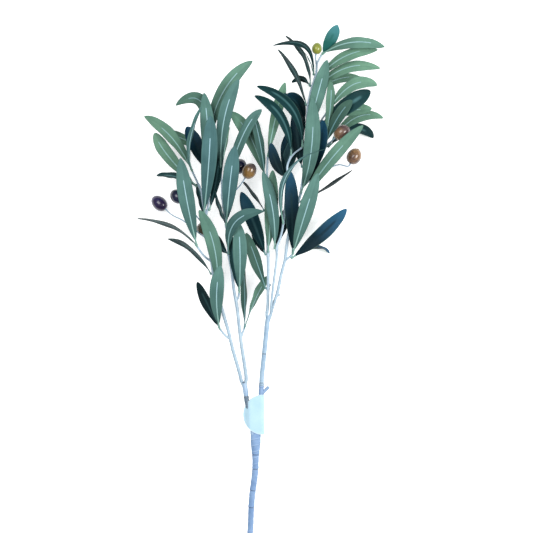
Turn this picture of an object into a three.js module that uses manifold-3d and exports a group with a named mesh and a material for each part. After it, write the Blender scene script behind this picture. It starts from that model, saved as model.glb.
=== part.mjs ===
// Artificial olive spray: two long branches bound into one wrapped stem, moulded twigs, fabric leaves
// with a moulded rib, olives on short stalks and a round paper tag folded round the stem.
// The spray lies on a surface. Sizes are millimetres. In the lists below a place is [x, y, z], where
// x runs across the spray, y runs up the stem from the fork of the two branches, and z is the height.

import * as THREE from "three";
import { mergeVertices } from "three/addons/utils/BufferGeometryUtils.js";
import Module from "manifold-3d";

const wasm = await Module();
wasm.setup();

// Driving dimensions.
const GAP = 0.3;
const PETIOLE_HALF = 0.8;
const LEAF_STEPS = 8;
const LEAF_TIP_HALF = 0.3;
const RIB_HEIGHT = 0.9;
const LEAF_BACK = 0.5;
const TWIG_SIDES = 7;
const TWIG_STEP = 16;
const STALK_RADIUS = 0.9;
const TAG_RADIUS = 24;
const TAG_CENTRE = [8.4, 20.4];
const TAG_PAPER = 0.6;
const TAG_SIDES = 48;
const TAG_FOLD = { x: 5.4, z: 27, radius: 4.4, flatTo: -7, pinchAt: -11, lipGap: 0.4 };
const OLIVE_SIDES = 14;
const OLIVE_RINGS = 10;

const UP = new THREE.Vector3(0, 0, 1);

const finishes = {
  wrap: { color: "#8ea9c9", roughness: 0.75, metalness: 0 },
  twig: { color: "#b8d0e2", roughness: 0.6, metalness: 0 },
  leaf: { color: "#5d877b", roughness: 0.7, metalness: 0 },
  darkLeaf: { color: "#24434c", roughness: 0.55, metalness: 0 },
  paper: { color: "#cfe9f6", roughness: 0.85, metalness: 0 },
};

const spray = new THREE.Group();

/** Adds one named piece with its own material. */
function addPiece(name, geometry, finish) {
  const mesh = new THREE.Mesh(geometry, new THREE.MeshStandardMaterial(finish));
  mesh.name = name;
  spray.add(mesh);
}

/** Merges shared corners and keeps only the places, so that the surface is closed. */
function closed(geometry) {
  geometry.deleteAttribute("normal");
  geometry.deleteAttribute("uv");
  return mergeVertices(geometry, 1e-4);
}

/** A closed surface over a row of rings: a capped cylinder whose rings take the given corners. */
function skin(rings) {
  const sides = rings[0].length;
  const steps = rings.length - 1;
  const geometry = new THREE.CylinderGeometry(1, 1, 1, sides, steps);
  const places = geometry.getAttribute("position");
  const corner = new THREE.Vector3();
  for (let i = 0; i < places.count; i += 1) {
    corner.fromBufferAttribute(places, i);
    const ring = rings[Math.round((0.5 - corner.y) * steps)];
    if (Math.hypot(corner.x, corner.z) < 0.5) {
      corner.set(0, 0, 0);
      ring.forEach((point) => corner.addScaledVector(point, 1 / sides));
    } else {
      const turn = Math.atan2(corner.x, corner.z) / (2 * Math.PI);
      corner.copy(ring[Math.round(turn * sides + sides) % sides]);
    }
    places.setXYZ(i, corner.x, corner.y, corner.z);
  }
  return closed(geometry);
}

/** Turns a closed surface into a solid that can be joined or cut. */
function solid(geometry) {
  const vertProperties = new Float32Array(geometry.getAttribute("position").array);
  const triVerts = new Uint32Array(geometry.getIndex().array);
  return new wasm.Manifold(new wasm.Mesh({ numProp: 3, vertProperties, triVerts }));
}

/** Turns a solid back into a surface. */
function surface(body) {
  const mesh = body.getMesh();
  const geometry = new THREE.BufferGeometry();
  geometry.setAttribute("position", new THREE.BufferAttribute(mesh.vertProperties, 3));
  geometry.setIndex(new THREE.BufferAttribute(mesh.triVerts, 1));
  return geometry;
}

/** A round twig: a smooth curve through its points, tapering from one radius to the other. */
function twig(points, startRadius, endRadius) {
  const curve = new THREE.CatmullRomCurve3(points.map((point) => new THREE.Vector3(...point)));
  const radiusAt = (u) => THREE.MathUtils.lerp(startRadius, endRadius, u);
  return { curve, radiusAt };
}

/** The rings of a round twig, made thicker all over by the given margin. */
function twigRings({ curve, radiusAt }, margin = 0) {
  const steps = Math.max(3, Math.ceil(curve.getLength() / TWIG_STEP));
  const frames = curve.computeFrenetFrames(steps, false);
  const rings = [];
  for (let i = 0; i <= steps; i += 1) {
    const u = i / steps;
    const centre = curve.getPointAt(u);
    const radius = radiusAt(u) + margin;
    const ring = [];
    for (let side = 0; side < TWIG_SIDES; side += 1) {
      const angle = (side / TWIG_SIDES) * 2 * Math.PI;
      const corner = centre.clone();
      corner.addScaledVector(frames.normals[i], radius * Math.cos(angle));
      corner.addScaledVector(frames.binormals[i], -radius * Math.sin(angle));
      ring.push(corner);
    }
    rings.push(ring);
  }
  return rings;
}

/** A twig and its side shoots moulded as one piece. */
function moulding(name, parts, finish) {
  const bodies = parts.map((part) => solid(skin(twigRings(part))));
  const joined = bodies.slice(1).reduce((whole, body) => whole.add(body), bodies[0]);
  addPiece(name, surface(joined), finish);
}

/** Where a twig passes the given reach up the spray: its middle, its direction and its radius. */
function alongTwig({ curve, radiusAt }, reach) {
  let low = 0;
  let high = 1;
  for (let i = 0; i < 24; i += 1) {
    const middle = (low + high) / 2;
    if (curve.getPointAt(middle).y < reach) {
      low = middle;
    } else {
      high = middle;
    }
  }
  return { middle: curve.getPointAt(low), direction: curve.getTangentAt(low), radius: radiusAt(low) };
}

/** The point just off a twig, on the named side, where a leaf or a stalk is set. */
function socket(parent, reach, side) {
  if (side === "end") {
    const direction = parent.curve.getTangentAt(1);
    return parent.curve.getPointAt(1).addScaledVector(direction, GAP + PETIOLE_HALF);
  }
  const { middle, direction, radius } = alongTwig(parent, reach);
  const right = direction.clone().cross(UP).normalize();
  const over = right.clone().cross(direction);
  const outward = { left: right.clone().negate(), right, over, under: over.clone().negate() }[side];
  return middle.addScaledVector(outward, radius + GAP + PETIOLE_HALF);
}

/** Half the width of a leaf at the fraction t of its length: a thin stalk, then a long oval. */
function leafHalfWidth(width, t) {
  const oval = (width / 2) * Math.sin(Math.PI * Math.pow(t, 1.1)) ** 0.8;
  return Math.max(oval, THREE.MathUtils.lerp(PETIOLE_HALF, LEAF_TIP_HALF, t));
}

/**
 * The rings of one leaf. Its middle line is a curve from the socket over the middle point to the tip.
 * roll turns the blade about that line in degrees: 0 has the ribbed side up, 180 the plain side up.
 * twist is what roll gains on the way to the tip.
 */
function leafRings(start, { middle, tip, width, roll = 0, twist = 0 }) {
  const end = new THREE.Vector3(...tip);
  const control = new THREE.Vector3(...middle).multiplyScalar(2);
  control.addScaledVector(start, -0.5).addScaledVector(end, -0.5);
  const curve = new THREE.QuadraticBezierCurve3(start, control, end);
  const rings = [];
  for (let i = 0; i <= LEAF_STEPS; i += 1) {
    const t = i / LEAF_STEPS;
    const centre = curve.getPoint(t);
    const along = curve.getTangent(t);
    const right = along.clone().cross(UP).normalize();
    const normal = right.clone().cross(along);
    const angle = THREE.MathUtils.degToRad(roll + twist * t);
    right.applyAxisAngle(along, angle);
    normal.applyAxisAngle(along, angle);
    const half = Math.min(leafHalfWidth(width, t), width / 2);
    const rib = RIB_HEIGHT * (1 - 0.6 * t);
    const back = LEAF_BACK * (1 - 0.4 * t);
    rings.push([
      centre.clone().addScaledVector(normal, rib),
      centre.clone().addScaledVector(right, -half),
      centre.clone().addScaledVector(normal, -back),
      centre.clone().addScaledVector(right, half),
    ]);
  }
  return rings;
}

/** One leaf set in a twig. */
function leaf(name, [parent, reach, side], blade, finish = finishes.leaf) {
  addPiece(name, skin(leafRings(socket(parent, reach, side), blade)), finish);
}

/** Two leaves moulded on one shared foot: the first one's rings backwards, then the second one's. */
function leafPair(name, [parent, reach, side], firstBlade, secondBlade, finish = finishes.leaf) {
  const foot = socket(parent, reach, side);
  const starts = [firstBlade, secondBlade].map((blade) => {
    const heading = new THREE.Vector3(...blade.middle).sub(foot).normalize();
    return foot.clone().addScaledVector(heading, 1.5 * PETIOLE_HALF);
  });
  const first = leafRings(starts[0], firstBlade).reverse();
  const turned = first.map(([rib, left, back, right]) => [rib, right, back, left]);
  const second = leafRings(starts[1], secondBlade);
  const footRing = turned[turned.length - 1];
  const shift = starts[1].clone().sub(starts[0]);
  const misfit = (offset) => footRing.reduce((sum, corner, i) => {
    return sum + corner.clone().add(shift).distanceTo(second[0][(i + offset) % 4]);
  }, 0);
  const best = [0, 1, 2, 3].sort((a, b) => misfit(a) - misfit(b))[0];
  const matched = second.map((ring) => ring.map((_, i) => ring[(i + best) % 4]));
  addPiece(name, skin([...turned, ...matched]), finish);
}

/** An olive with its stalk: a stretched ball whose long axis follows the stalk's last stretch. */
function olive(name, [parent, reach, side], route, { length, width, color }) {
  const points = [socket(parent, reach, side), ...route.map((point) => new THREE.Vector3(...point))];
  const centre = points[points.length - 1];
  const axis = centre.clone().sub(points[points.length - 2]).normalize();
  const ball = new THREE.SphereGeometry(0.5, OLIVE_SIDES, OLIVE_RINGS);
  ball.scale(width, length, width);
  ball.applyQuaternion(new THREE.Quaternion().setFromUnitVectors(new THREE.Vector3(0, 1, 0), axis));
  ball.translate(centre.x, centre.y, centre.z);
  const stalk = twig(points.map((point) => point.toArray()), STALK_RADIUS, STALK_RADIUS);
  const joined = solid(closed(ball)).add(solid(skin(twigRings(stalk))));
  addPiece(name, surface(joined), { color, roughness: 0.35, metalness: 0 });
}

// Wrapped main stem: it lies with its cut end on the surface and rises to the fork.
const mainStem = twig(
  [
    [-11, -181, 3.4], [-7, -121, 10], [-5, -80, 15.5], [-1, -46, 20.5], [-0.6, -20, 24.5],
  ],
  3.3,
  3.7,
);
const stemShoulder = twig(
  [
    [-1.1, -46, 20.5], [-0.6, -27, 23.5], [-0.6, -14, 25.5], [-0.6, -4, 26.8],
  ],
  3.5,
  5.8,
);
moulding("main_stem", [mainStem, stemShoulder], finishes.wrap);

// The two branches that the main stem's wrap binds together, side by side.
const leftBranch = twig(
  [
    [-3.8, -3.6, 27], [-5, 10, 27], [-8, 24, 27], [-11, 36, 27.5], [-12.4, 47, 29],
    [-13.8, 56, 30],
  ],
  2.9,
  3,
);
const rightBranch = twig(
  [
    [2.9, -3.6, 27], [4, 20, 27], [6, 46, 27.5], [7, 66, 29], [9.6, 92, 31], [11.4, 110, 32],
    [14.2, 136, 33],
  ],
  3,
  2.6,
);
const cutShoot = twig([[6, 45.6, 27.5], [11, 49.5, 28], [15.5, 54, 28.5]], 2, 1.8);
moulding("left_branch", [leftBranch], finishes.wrap);
moulding("right_branch", [rightBranch, cutShoot], finishes.wrap);

// Round paper tag, folded in half round both branches with its two halves glued on the left.
{
  const { x: foldX, z: foldZ, radius, flatTo, pinchAt, lipGap } = TAG_FOLD;
  const [centreX, centreY] = TAG_CENTRE;
  const lip = centreX - TAG_RADIUS;
  const folded = (inset, path) => {
    const half = radius - inset;
    const start = lip + 3 * inset;
    path.moveTo(start, -lipGap);
    path.quadraticCurveTo(pinchAt, -half, flatTo, -half);
    path.lineTo(foldX, -half);
    path.absarc(foldX, 0, half, -Math.PI / 2, Math.PI / 2, false);
    path.lineTo(flatTo, half);
    path.quadraticCurveTo(pinchAt, half, start, lipGap);
    path.closePath();
    return path;
  };
  const outline = folded(0, new THREE.Shape());
  outline.holes.push(folded(TAG_PAPER, new THREE.Path()));
  const sleeve = new THREE.ExtrudeGeometry(outline, {
    depth: 2 * TAG_RADIUS,
    bevelEnabled: false,
    curveSegments: 8,
  });
  sleeve.rotateX(Math.PI / 2);
  sleeve.translate(0, centreY + TAG_RADIUS, foldZ);
  const disc = new THREE.CylinderGeometry(TAG_RADIUS, TAG_RADIUS, 3 * radius, TAG_SIDES);
  disc.rotateX(Math.PI / 2);
  disc.translate(centreX, centreY, foldZ);
  let tag = solid(closed(sleeve)).intersect(solid(closed(disc)));
  [leftBranch, rightBranch, cutShoot].forEach((part) => {
    tag = tag.subtract(solid(skin(twigRings(part, GAP))));
  });
  addPiece("paper_tag", surface(tag), finishes.paper);
}

// Outer twig of the left branch, with its shoots.
const outerTwig = twig(
  [
    [-17.2, 60, 30], [-20, 71, 31], [-24, 85, 32], [-28, 99, 33], [-33.5, 122, 34],
    [-38.5, 139, 35], [-45.5, 165, 36], [-51, 188, 37], [-54, 207, 37.5], [-59, 230, 38],
    [-61, 248, 38], [-60, 262, 38.5],
  ],
  2.1,
  1.5,
);
const outerLowShoot = twig([[-31, 111, 33.5], [-37, 116, 35], [-43, 123, 37]], 1.4, 1.2);
const outerSideShoot = twig([[-54, 205, 37.5], [-61, 210, 40], [-66, 216, 43], [-70, 222, 46]], 1.4, 1.2);
const outerTopLeft = twig(
  [
    [-60, 260, 38.5], [-63.5, 275, 40], [-66, 290, 41.5], [-70, 299, 43], [-76, 312, 45],
  ],
  1.4,
  1.2,
);
const outerTopRight = twig(
  [
    [-60, 260, 38.5], [-57.5, 270, 40], [-56, 290, 41], [-57, 312, 41.5], [-60, 335, 41],
  ],
  1.4,
  1.2,
);
moulding(
  "outer_left_twig",
  [outerTwig, outerLowShoot, outerSideShoot, outerTopLeft, outerTopRight],
  finishes.twig,
);

leafPair(
  "leaves_low_left",
  [outerLowShoot, 123, "end"],
  { middle: [-47, 164, 60], tip: [-42, 200, 62], width: 17 },
  { middle: [-58, 153, 34], tip: [-71, 180, 28], width: 14, roll: 150 },
);
leaf(
  "leaf_front_left",
  [outerTwig, 168, "over"],
  { middle: [-50, 222, 52], tip: [-68, 266, 55], width: 17 },
);
leafPair(
  "leaves_side_shoot",
  [outerSideShoot, 222, "end"],
  { middle: [-82, 275, 60], tip: [-90, 328, 62], width: 19 },
  { middle: [-101, 247, 40], tip: [-143, 256, 30], width: 16, roll: 110 },
);
leaf(
  "leaf_low_edge",
  [outerTwig, 190, "left"],
  { middle: [-79, 220, 27], tip: [-107, 232, 20], width: 15, roll: 112 },
);
leafPair(
  "leaves_far_left",
  [outerTopLeft, 312, "end"],
  { middle: [-101, 353, 57], tip: [-134, 378, 50], width: 16, roll: -25 },
  { middle: [-79, 346, 62], tip: [-65, 389, 66], width: 15, roll: 70 },
);
leafPair(
  "leaves_left_middle",
  [outerTopLeft, 295, "left"],
  { middle: [-106, 332, 44], tip: [-121, 359, 42], width: 17, roll: -20 },
  { middle: [-95, 306, 29], tip: [-120, 308, 26], width: 14, roll: 235 },
);
leafPair(
  "leaves_navy_curled",
  [outerTopRight, 310, "over"],
  { middle: [-71, 342, 45], tip: [-83, 366, 44], width: 18, roll: 190 },
  { middle: [-62, 390, 50], tip: [-96, 391, 46], width: 18, roll: -35 },
  finishes.darkLeaf,
);
leafPair(
  "leaves_bright_top",
  [outerTopRight, 335, "end"],
  { middle: [-41, 404, 46], tip: [-4, 445, 42], width: 17 },
  { middle: [-88, 352, 31], tip: [-112, 360, 29], width: 14, roll: 25 },
);
leaf(
  "leaf_inner_left",
  [outerTopRight, 302, "over"],
  { middle: [-57, 355, 58], tip: [-62, 406, 56], width: 17 },
);
leafPair(
  "leaves_broad_front",
  [outerTwig, 256, "left"],
  { middle: [-56, 324, 68], tip: [-54, 378, 72], width: 19 },
  { middle: [-66, 282, 30], tip: [-72, 298, 28], width: 12, roll: 130 },
);

// Inner twig of the left branch, with its shoots.
const innerTwig = twig(
  [
    [-11.6, 59.6, 31], [-13, 74, 32], [-15.6, 92, 34], [-17.6, 105, 35], [-20.4, 128, 36.5],
    [-22.4, 147, 37.5], [-26.4, 170, 39], [-29.4, 195, 40], [-32, 208, 40.5], [-34.6, 240, 41],
    [-37.5, 259, 41.5], [-40.8, 285, 42],
  ],
  2.1,
  1.4,
);
const innerLowShoot = twig([[-18.4, 111, 35.5], [-16, 119, 35.5], [-14.2, 124, 35.5]], 1.3, 1.2);
const innerMiddleShoot = twig([[-23.8, 157, 38], [-21, 162, 39.5], [-20.2, 167, 41]], 1.3, 1.2);
const innerTopShoot = twig([[-40.8, 282, 42], [-41, 296, 43], [-42, 310, 44]], 1.3, 1.2);
moulding("inner_left_twig", [innerTwig, innerLowShoot, innerMiddleShoot, innerTopShoot], finishes.twig);

leafPair(
  "leaves_inner_low",
  [innerLowShoot, 124, "end"],
  { middle: [-14, 166, 34], tip: [-16, 204, 34], width: 15, roll: 60 },
  { middle: [-1, 159, 20], tip: [14, 187, 22], width: 13, roll: 100, twist: -85 },
);
leafPair(
  "leaves_inner_middle",
  [innerMiddleShoot, 167, "end"],
  { middle: [-19, 212, 57], tip: [-21, 251, 55], width: 17 },
  { middle: [-26, 203, 46], tip: [-29, 236, 45], width: 11, roll: 150 },
);
leafPair(
  "leaves_twisted",
  [innerTwig, 213, "over"],
  { middle: [-25, 251, 67], tip: [10, 264, 69], width: 15, roll: -20, twist: 60 },
  { middle: [-42, 223, 43.5], tip: [-46, 236, 41], width: 9, roll: 180 },
  finishes.darkLeaf,
);
leafPair(
  "leaves_centre_front",
  [innerTwig, 247, "over"],
  { middle: [-31, 297, 66], tip: [-25, 342, 72], width: 18.5 },
  { middle: [-42, 266, 47], tip: [-50, 290, 48], width: 12, roll: 115 },
);
leaf(
  "leaf_centre_lean",
  [innerTwig, 284, "right"],
  { middle: [-17, 352, 54], tip: [7, 386, 57], width: 15, roll: -30 },
);
leafPair(
  "leaves_inner_top",
  [innerTopShoot, 310, "end"],
  { middle: [-38, 374, 60], tip: [-20, 422, 60], width: 16 },
  { middle: [-37, 344, 43], tip: [-32, 366, 42], width: 12, roll: 60 },
);

// Left twig of the right branch.
const rightLeftTwig = twig(
  [
    [12.6, 137.6, 33], [14, 150, 33.5], [14.4, 170, 34], [14.4, 214, 35], [13.2, 242, 35],
    [12, 266, 35], [13, 302, 35], [14, 330, 34],
  ],
  1.9,
  1.3,
);
moulding("right_branch_left_twig", [rightLeftTwig], finishes.twig);

leaf(
  "leaf_centre_low",
  [rightLeftTwig, 172, "left"],
  { middle: [0, 206, 43], tip: [-12, 239, 45], width: 16, roll: 30 },
);
leafPair(
  "leaves_dark_centre",
  [rightLeftTwig, 212, "left"],
  { middle: [-3, 252, 45], tip: [-18, 288, 44], width: 18, roll: 165 },
  { middle: [4, 228, 31], tip: [-5, 241, 27], width: 12, roll: 150 },
  finishes.darkLeaf,
);
leaf(
  "leaf_centre_ribbed",
  [rightLeftTwig, 216, "over"],
  { middle: [18, 265, 49], tip: [20, 314, 50], width: 16 },
);
leaf(
  "leaf_thin_edge",
  [rightLeftTwig, 266, "left"],
  { middle: [-3, 286, 33], tip: [-16, 301, 33], width: 12, roll: 110 },
);
leafPair(
  "leaves_centre_high",
  [rightLeftTwig, 305, "left"],
  { middle: [-7, 354, 44], tip: [-31, 384, 42], width: 17, roll: 20 },
  { middle: [5, 345, 50], tip: [-4, 383, 49], width: 14, roll: 40 },
);
leaf(
  "leaf_light_back",
  [rightLeftTwig, 330, "end"],
  { middle: [24, 380, 31], tip: [35, 420, 30], width: 13 },
);

// Middle twig of the right branch.
const rightMiddleTwig = twig(
  [
    [17, 149, 37.4], [19.6, 166, 38.5], [22.8, 192, 39.5], [25, 211, 40], [25, 222, 40.5],
    [28.8, 232, 41], [32.4, 248, 41], [34.8, 272, 41], [38, 306, 41.5], [37.6, 319, 42],
    [42, 331, 42],
  ],
  1.5,
  1.3,
);
const rightMiddleShoot = twig([[37.8, 322, 42], [44, 332, 42], [55, 341, 42]], 1.2, 1.1);
moulding("right_branch_middle_twig", [rightMiddleTwig, rightMiddleShoot], finishes.twig);

leafPair(
  "leaves_middle_low",
  [rightMiddleTwig, 219, "left"],
  { middle: [20, 266, 55], tip: [8, 312, 57], width: 14.5 },
  { middle: [31, 243, 32], tip: [38, 269, 31], width: 12, roll: 255 },
);
leaf(
  "leaf_middle_bent",
  [rightMiddleTwig, 250, "over"],
  { middle: [37, 308, 70], tip: [82, 338, 77], width: 14, roll: 35, twist: 60 },
);
leafPair(
  "leaves_middle_navy",
  [rightMiddleTwig, 304, "left"],
  { middle: [24, 323, 40], tip: [18, 347, 38], width: 13, roll: 170 },
  { middle: [35, 337, 31], tip: [41, 362, 29], width: 13, roll: 200 },
  finishes.darkLeaf,
);
leaf(
  "leaf_middle_lean",
  [rightMiddleTwig, 331, "end"],
  { middle: [30, 378, 46], tip: [-2, 403, 43], width: 14, roll: 150 },
);
leafPair(
  "leaves_middle_top",
  [rightMiddleShoot, 341, "end"],
  { middle: [42, 389, 55], tip: [1, 414, 53], width: 14, roll: 150 },
  { middle: [52, 389, 40], tip: [28, 404, 41], width: 13, roll: 240 },
);

// Right twig of the right branch, the longest, with its shoots.
const rightTwig = twig(
  [
    [17.4, 137.8, 33], [19.2, 147, 33], [22.4, 157, 33.5], [25.6, 167, 34], [30, 188, 34],
    [35, 208, 34.5], [37, 224, 35], [41, 246, 35], [49, 272, 35.5], [53.4, 285, 36], [56, 302, 36],
    [58.4, 325, 36.5], [61, 368, 38], [62.4, 392, 39], [67, 413, 39.5], [72, 429, 40],
    [73, 444, 40],
  ],
  1.9,
  1.3,
);
const clusterShoot = twig([[34, 205, 34.5], [39, 209, 36], [43, 212, 37]], 1.4, 1.3);
const ribbedShoot = twig([[59.5, 345, 37], [68, 357, 39], [77, 372, 42], [84, 382, 44]], 1.3, 1.1);
const fruitShoot = twig([[58, 318, 36.5], [74, 332, 35], [87, 346, 34]], 1.3, 1.1);
const tipShoot = twig([[72.6, 441, 40], [75.6, 447, 40.5], [78.4, 452, 41]], 1.1, 1);
moulding(
  "right_branch_right_twig",
  [rightTwig, clusterShoot, ribbedShoot, fruitShoot, tipShoot],
  finishes.twig,
);

leafPair(
  "leaves_blue_right",
  [clusterShoot, 210, "right"],
  { middle: [77, 236, 34], tip: [109, 268, 29], width: 18, roll: 195 },
  { middle: [72, 221, 14], tip: [89, 214, 3], width: 12, roll: 112 },
  finishes.darkLeaf,
);
leafPair(
  "leaves_cluster_front",
  [clusterShoot, 212, "end"],
  { middle: [58, 260, 62], tip: [74, 310, 62], width: 18 },
  { middle: [43, 264, 46], tip: [41, 313, 48], width: 17, roll: 180 },
);
leafPair(
  "leaves_right_sweep",
  [rightTwig, 276, "right"],
  { middle: [89, 326, 53], tip: [128, 367, 57], width: 15.5 },
  { middle: [91, 297, 26], tip: [116, 315, 20], width: 12, roll: 112 },
);
leaf(
  "leaf_right_front",
  [rightTwig, 287, "over"],
  { middle: [66, 338, 60], tip: [67, 400, 63], width: 19 },
);
leafPair(
  "leaves_right_dark",
  [rightTwig, 297, "right"],
  { middle: [75, 338, 46], tip: [80, 374, 47], width: 17, roll: 165 },
  { middle: [86, 326, 41], tip: [98, 342, 39], width: 11, roll: 160 },
  finishes.darkLeaf,
);
leaf(
  "leaf_right_upper",
  [rightTwig, 354, "over"],
  { middle: [73, 401, 57], tip: [85, 445, 57], width: 17 },
);
leaf(
  "leaf_right_teal",
  [ribbedShoot, 370, "right"],
  { middle: [109, 390.5, 51], tip: [137, 409, 48.5], width: 21, roll: 175 },
  finishes.darkLeaf,
);
leafPair(
  "leaves_right_fan",
  [ribbedShoot, 382, "end"],
  { middle: [115, 415, 58], tip: [145, 415, 52], width: 16, roll: -20 },
  { middle: [114, 386, 40], tip: [139, 388, 38], width: 15, roll: 25 },
);
leafPair(
  "leaves_right_fruit",
  [fruitShoot, 343, "left"],
  { middle: [89, 392, 55], tip: [89, 422, 50], width: 12, roll: 30 },
  { middle: [98, 377, 56], tip: [115, 397, 57], width: 14 },
);
leafPair(
  "leaves_right_bottom",
  [fruitShoot, 343, "right"],
  { middle: [119, 377, 27], tip: [153, 377, 27], width: 15, roll: -30 },
  { middle: [119, 364, 13], tip: [142, 354, 4], width: 16, roll: 150 },
);
leaf(
  "leaf_top_left_low",
  [rightTwig, 392, "left"],
  { middle: [47, 430, 40], tip: [26, 459, 36], width: 14, roll: 115 },
);
leafPair(
  "leaves_top_left_curl",
  [rightTwig, 414, "left"],
  { middle: [58, 450, 43], tip: [35, 475, 42], width: 12, roll: 112 },
  { middle: [55, 425, 28], tip: [43, 420, 26], width: 9, roll: 140 },
);
leafPair(
  "leaves_top_left_high",
  [rightTwig, 427, "left"],
  { middle: [58, 462, 58], tip: [20, 462, 56], width: 13, roll: 115 },
  { middle: [64, 445, 46], tip: [56, 457, 50], width: 6, roll: 85 },
);
leaf(
  "leaf_top_third",
  [rightTwig, 424, "right"],
  { middle: [107, 450, 51], tip: [146, 458, 46], width: 15, roll: -25 },
);
leafPair(
  "leaves_top_low",
  [rightTwig, 408, "right"],
  { middle: [107, 436, 44], tip: [149, 436, 40], width: 15, roll: -25 },
  { middle: [101, 424, 36], tip: [128, 424, 33], width: 13, roll: -35 },
);
leafPair(
  "leaves_top",
  [tipShoot, 452, "end"],
  { middle: [115, 466, 58], tip: [154, 461, 54], width: 15, roll: -20 },
  { middle: [89, 470, 47], tip: [98, 488, 43], width: 15, roll: 190 },
);

// Olives on their stalks.
olive(
  "olive_purple",
  [outerTwig, 232, "left"],
  [[-74, 243, 30], [-88, 254, 20], [-103, 262, 13], [-117, 275, 9]],
  { length: 22, width: 16.4, color: "#2a2238" },
);
olive(
  "olive_navy_left",
  [outerTwig, 246, "left"],
  [[-74, 262, 33], [-86, 274, 28], [-95, 283, 24]],
  { length: 19, width: 16, color: "#1c2438" },
);
olive(
  "olive_hidden_left",
  [outerTwig, 238, "under"],
  [[-62, 240, 31], [-64, 244, 20]],
  { length: 19, width: 16, color: "#5a4a38" },
);
olive(
  "olive_navy_centre",
  [innerTwig, 281, "right"],
  [[-33, 297, 36], [-26, 309, 32], [-20, 319, 29]],
  { length: 19, width: 17, color: "#141d2b" },
);
olive(
  "olive_gold_centre",
  [innerTwig, 270, "right"],
  [[-28, 286, 39], [-19, 296, 39], [-13, 305, 41.5], [-8, 313, 44]],
  { length: 20, width: 17, color: "#8f7349" },
);
olive(
  "olive_green_top",
  [rightTwig, 441, "left"],
  [[71.4, 450, 40], [73, 460, 40]],
  { length: 14.4, width: 12.4, color: "#a8ab45" },
);
olive(
  "olive_brown_right",
  [fruitShoot, 346, "end"],
  [[94, 352, 38], [103, 359, 42]],
  { length: 21, width: 18.4, color: "#8a6a52" },
);
olive(
  "olive_tan_right",
  [rightTwig, 292, "under"],
  [[64, 301, 31], [80, 312, 29.5], [100, 321, 29], [112, 320, 29], [118, 331, 29.5]],
  { length: 20.5, width: 17.5, color: "#b08a5a" },
);

// The origin is the middle of the outline on the surface that the spray lies on.
const bounds = new THREE.Box3().setFromObject(spray);
const middle = bounds.getCenter(new THREE.Vector3());
spray.position.set(-middle.x, -middle.y, -bounds.min.z);

export default spray;
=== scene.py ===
import math

import bmesh
import bpy
import numpy as np
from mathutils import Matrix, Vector


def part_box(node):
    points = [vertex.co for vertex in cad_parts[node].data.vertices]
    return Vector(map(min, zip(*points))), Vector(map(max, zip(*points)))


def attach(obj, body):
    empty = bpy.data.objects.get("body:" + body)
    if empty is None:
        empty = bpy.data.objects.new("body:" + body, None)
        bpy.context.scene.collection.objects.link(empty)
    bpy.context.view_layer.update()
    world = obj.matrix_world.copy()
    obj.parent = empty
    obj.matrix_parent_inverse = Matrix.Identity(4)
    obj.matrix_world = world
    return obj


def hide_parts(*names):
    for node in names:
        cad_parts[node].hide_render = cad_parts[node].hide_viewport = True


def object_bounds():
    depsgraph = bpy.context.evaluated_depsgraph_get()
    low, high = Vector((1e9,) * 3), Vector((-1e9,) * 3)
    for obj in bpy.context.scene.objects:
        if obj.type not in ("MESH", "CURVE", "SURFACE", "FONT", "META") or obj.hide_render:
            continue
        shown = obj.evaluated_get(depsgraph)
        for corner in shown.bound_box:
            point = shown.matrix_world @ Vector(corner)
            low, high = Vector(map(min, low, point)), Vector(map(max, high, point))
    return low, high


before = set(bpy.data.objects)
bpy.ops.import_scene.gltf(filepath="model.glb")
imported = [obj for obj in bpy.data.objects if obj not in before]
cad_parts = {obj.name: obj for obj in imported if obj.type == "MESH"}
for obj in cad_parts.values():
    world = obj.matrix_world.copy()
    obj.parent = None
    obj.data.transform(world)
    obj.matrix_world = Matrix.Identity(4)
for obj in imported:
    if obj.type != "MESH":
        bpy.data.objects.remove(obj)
cad_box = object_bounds()

# ---- Wrapped main stem ----
# Two wires lie side by side under florist's tape, which winds up the stem on a slant, each turn over
# the edge of the last. Short joint rings press into it, and the lower end is cut square.

MM = 0.001
UP = np.array([0.0, 0.0, 1.0])

# Routes are in millimetres from the fork of the two branches, where the tag is wrapped round them. A
# reach is how far up the spray from the fork a place lies.
TAG_RIGHT, TAG_LOWEST, TAG_UNDERSIDE = 9.8, -3.6, 22.6
tag_low, tag_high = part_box("paper_tag")
fork = np.array([tag_high.x, tag_low.y, tag_low.z]) - np.array([TAG_RIGHT, TAG_LOWEST, TAG_UNDERSIDE]) * MM


def lay(points):
    """Places in millimetres from the fork, moved to the frame: each times 0.001, plus the fork's place."""
    return np.array(points, float) * MM + fork


def unit(vectors):
    """Each vector divided by its length."""
    return vectors / np.linalg.norm(vectors, axis=-1, keepdims=True)


def ease(values, start, end):
    """0 before start and 1 after end; between them three times the square less twice the cube."""
    share = np.clip((values - start) / (end - start), 0, 1)
    return share * share * (3 - 2 * share)


def shade_by_facing(up):
    """How much painted shade a surface gets on the sides that face away from the light above: 0 where
    the upward part of its normal is over 0.7, and 1 where that is under -0.05."""
    return ease(-up, -0.7, 0.05)


def bump(values, middle, width):
    """A bell: one over e to the square of the distance from the middle, in widths."""
    return np.exp(-(((values - middle) / width) ** 2))


def lengths(line):
    """Distance of each place on a line from its start, measured along the line."""
    return np.concatenate([[0], np.cumsum(np.linalg.norm(np.diff(line, axis=0), axis=1))])


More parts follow.
